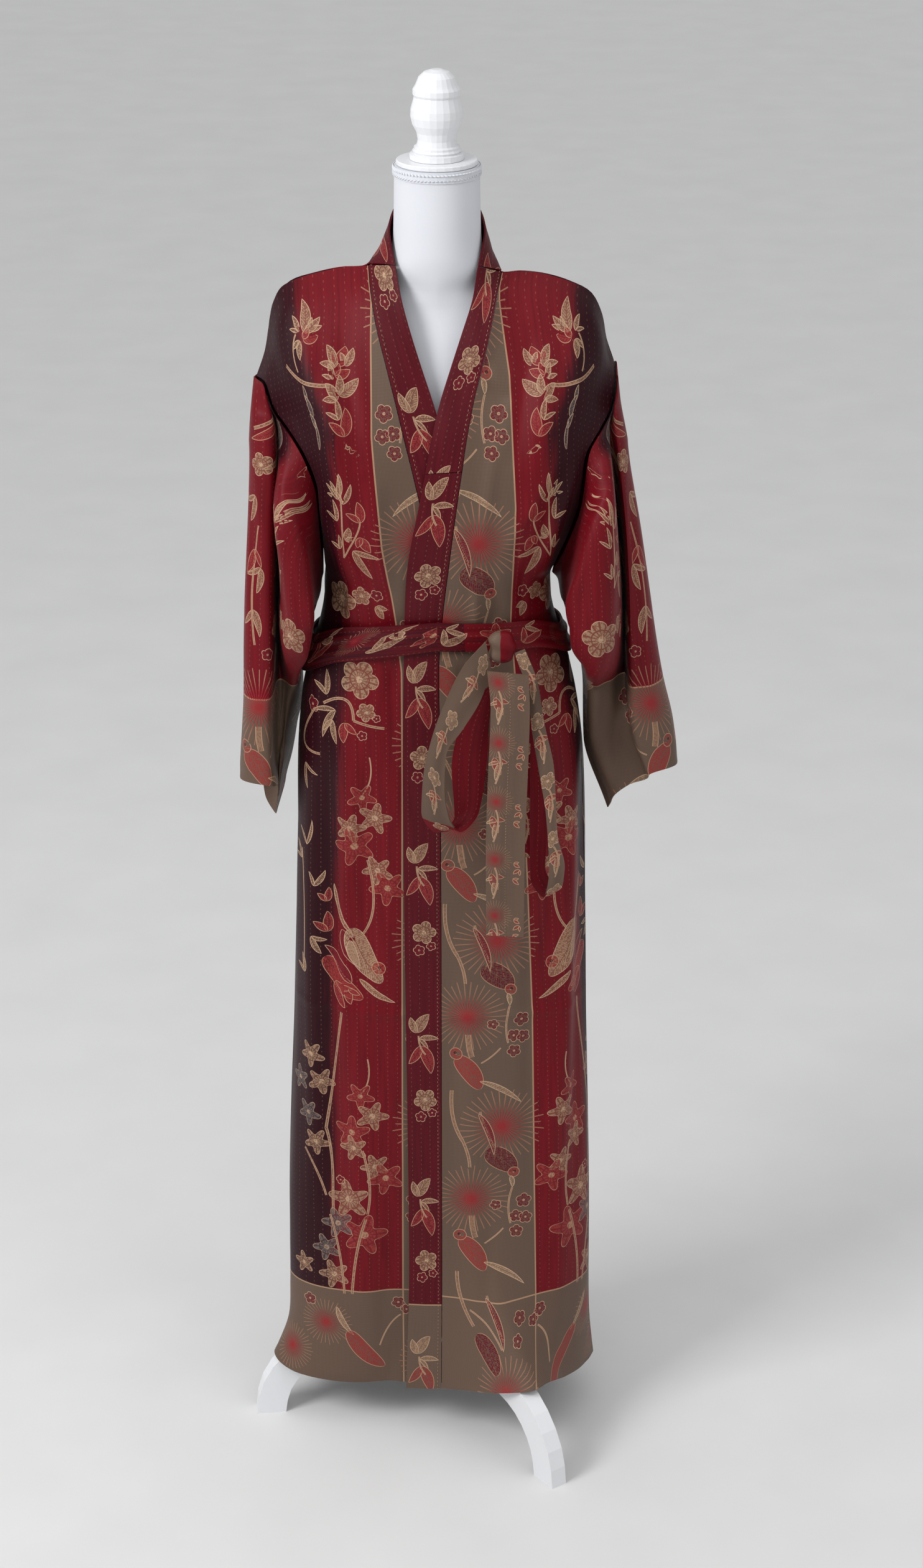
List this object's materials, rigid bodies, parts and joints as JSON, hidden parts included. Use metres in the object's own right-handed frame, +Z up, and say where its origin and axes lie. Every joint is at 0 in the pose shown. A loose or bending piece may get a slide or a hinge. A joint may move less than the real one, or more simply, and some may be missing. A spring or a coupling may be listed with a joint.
{
  "type": "silk kimono robe on a limbless dress form with a tripod stand",
  "caption": "Long wrapped silk robe with hanging sleeves, full-length neckband and tied belt, worn on a white neck-and-torso dress form on a low tripod.",
  "frame": {"origin": "on the floor, under the centre of the whole object's box", "axes": "+Z up, the wearer's front faces -Y, the wearer's left is +X"},
  "size_m": [0.5168, 0.4256, 1.706],
  "materials": {
    "silk_jacquard": "soft satin jacquard, red and plum with taupe stripes and beige and coral figures",
    "silk_neckband": "soft satin jacquard, wine and plum with beige figures",
    "silk_belt": "soft satin jacquard, red, coral and taupe",
    "white_jersey": "matte white knit",
    "white_painted_wood": "semi-gloss white paint on turned wood"
  },
  "bodies": {
    "root": {"front_left": "silk_jacquard", "front_right": "silk_jacquard", "back": "silk_jacquard", "sleeve_left": "silk_jacquard", "sleeve_right": "silk_jacquard", "neckband_left_lower": "silk_neckband", "neckband_left_upper": "silk_neckband", "neckband_right": "silk_neckband", "neckband_neck": "silk_neckband", "belt_round": "silk_belt", "belt_loop_left": "silk_belt", "belt_loop_right": "silk_belt", "belt_tail_wide": "silk_belt", "belt_tail_narrow": "silk_belt", "belt_knot": "silk_belt", "form_torso": "white_jersey", "neck_trim": "white_jersey", "neck_disc": "white_painted_wood", "finial": "white_painted_wood", "pole": "white_painted_wood", "stand_hub": "white_painted_wood", "stand_leg_1": "white_painted_wood", "stand_leg_2": "white_painted_wood", "stand_leg_3": "white_painted_wood"}
  },
  "joints": []
}
